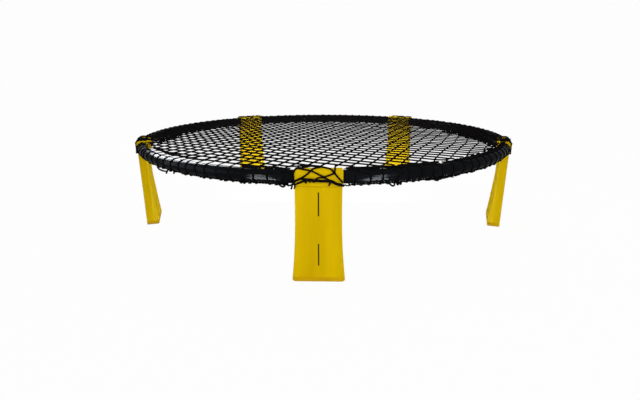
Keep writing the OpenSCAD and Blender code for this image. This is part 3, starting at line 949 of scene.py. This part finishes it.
world = bpy.data.worlds.new("world")
bpy.context.scene.world = world
world.use_nodes = True
sky = next(n for n in world.node_tree.nodes if n.type == "BACKGROUND")
sky.inputs["Color"].default_value = (1, 1, 1, 1)
sky.inputs["Strength"].default_value = WORLD_LIGHT
white_sky = node(world.node_tree, "ShaderNodeBackground", Color=WHITE, Strength=1.0)
show_white(world.node_tree, sky, white_sky)

floor_material, floor_tree, floor_lit = new_material("floor")
floor_lit.inputs["Base Color"].default_value = (0.9, 0.9, 0.9, 1)
floor_lit.inputs["Roughness"].default_value = 0.9
floor_lit.inputs["Specular IOR Level"].default_value = 0.0
glow = node(floor_tree, "ShaderNodeEmission", Color=WHITE, Strength=FLOOR_GLOW)
show_white(floor_tree, floor_lit, glow, FLOOR_WHITE)
floor_mesh = bpy.data.meshes.new("floor")
floor_mesh.from_pydata([(x * FLOOR_HALF, y * FLOOR_HALF, 0)
                        for x, y in ((-1, -1), (1, -1), (1, 1), (-1, 1))], [], [(0, 1, 2, 3)])
floor_mesh.materials.append(floor_material)
floor_ob = show("floor", floor_mesh)
floor_ob.location.z = FLOOR_Z

# ---------------------------------------------------------------- lights

# Name, place, aim (none for a panel that lies on the floor), size and power
LAMPS = (
    ("key_left", (-1.3, -2.0, 1.3), (0, 0, 0.15), (0.7, 1.4), 8),
    ("key_right", (1.6, -2.0, 1.3), (0, 0, 0.15), (0.7, 1.4), 16.5),
    ("low", (0.7, -2.4, 0.16), (0, 0.4, 0.1), (2.0, 0.3), 6),
    ("low_left", (-2.4, 0.2, 0.15), (0, 0, 0.1), (1.6, 0.26), 5.5),
    ("low_right", (2.4, 0.2, 0.15), (0, 0, 0.1), (1.6, 0.26), 8.5),
    ("top", (0, 0.2, 2.4), (0, 0, 0.1), (2.4, 2.4), 17),
    ("back", (-0.4, 2.4, 1.2), (0, 0, 0.15), (1.2, 0.8), 9),
    ("under", (0, 0.0, 0.09), (0, 0.5, 0.11), (0.5, 0.12), 1.0))
# Bright panels that show only as gleams along the tube
GLEAMS = (
    ("gleam_1", (-1.86, 1.47, 1.69), (-0.33, -0.30, 0.2), (2.0, 1.13), 1000),
    ("gleam_2", (-2.5, -0.9, 0.8), (-0.3, -0.3, 0.2), (2.4, 1.6), 230),
    ("gleam_3", (-0.96, -1.67, 0.36), (-0.11, -0.44, 0.19), (0.24, 0.7), 180),
    ("gleam_4", (-0.38, -0.88, 0.01), None, (0.1, 0.8), 130),
    ("gleam_5", (0.93, -1.70, 0.36), (0.12, -0.44, 0.19), (0.2, 0.7), 160),
    ("gleam_6", (0.34, -0.86, 0.01), None, (0.08, 0.8), 100))
GLEAM_COLOR = (0.90, 0.95, 1.0)
FRONT_X, FRONT_Y = 0.12, -0.42   # the ring's front, left or right of its middle


def area(name, at, aim, size, power, color=(1, 1, 1)):
    """A panel of light. Without an aim it lies on the floor, faces up, and its length points
    away from the front of the ring."""
    data = bpy.data.lights.new(name, "AREA")
    data.shape = "RECTANGLE"
    data.size, data.size_y = size
    data.energy = power
    data.color = color
    lamp = show(name, data)
    lamp.location = at
    lamp.rotation_mode = "QUATERNION"
    if aim is None:
        away = Vector((at[0] - math.copysign(FRONT_X, at[0]), at[1] - FRONT_Y, 0))
        away.normalize()
        down = Vector((0, 0, -1))
        turn = Matrix((away.cross(down), away, down)).transposed()
        lamp.rotation_quaternion = turn.to_quaternion()
    else:
        lamp.rotation_quaternion = (Vector(aim) - Vector(at)).to_track_quat("-Z", "Y")
    return lamp


for name, at, aim, size, power in LAMPS:
    area(name, at, aim, size, power).visible_glossy = False
for name, at, aim, size, power in GLEAMS:
    gleam = area(name, at, aim, size, power, GLEAM_COLOR)
    gleam.visible_camera = False
    gleam.visible_diffuse = False

bpy.context.scene.view_settings.view_transform = "Standard"
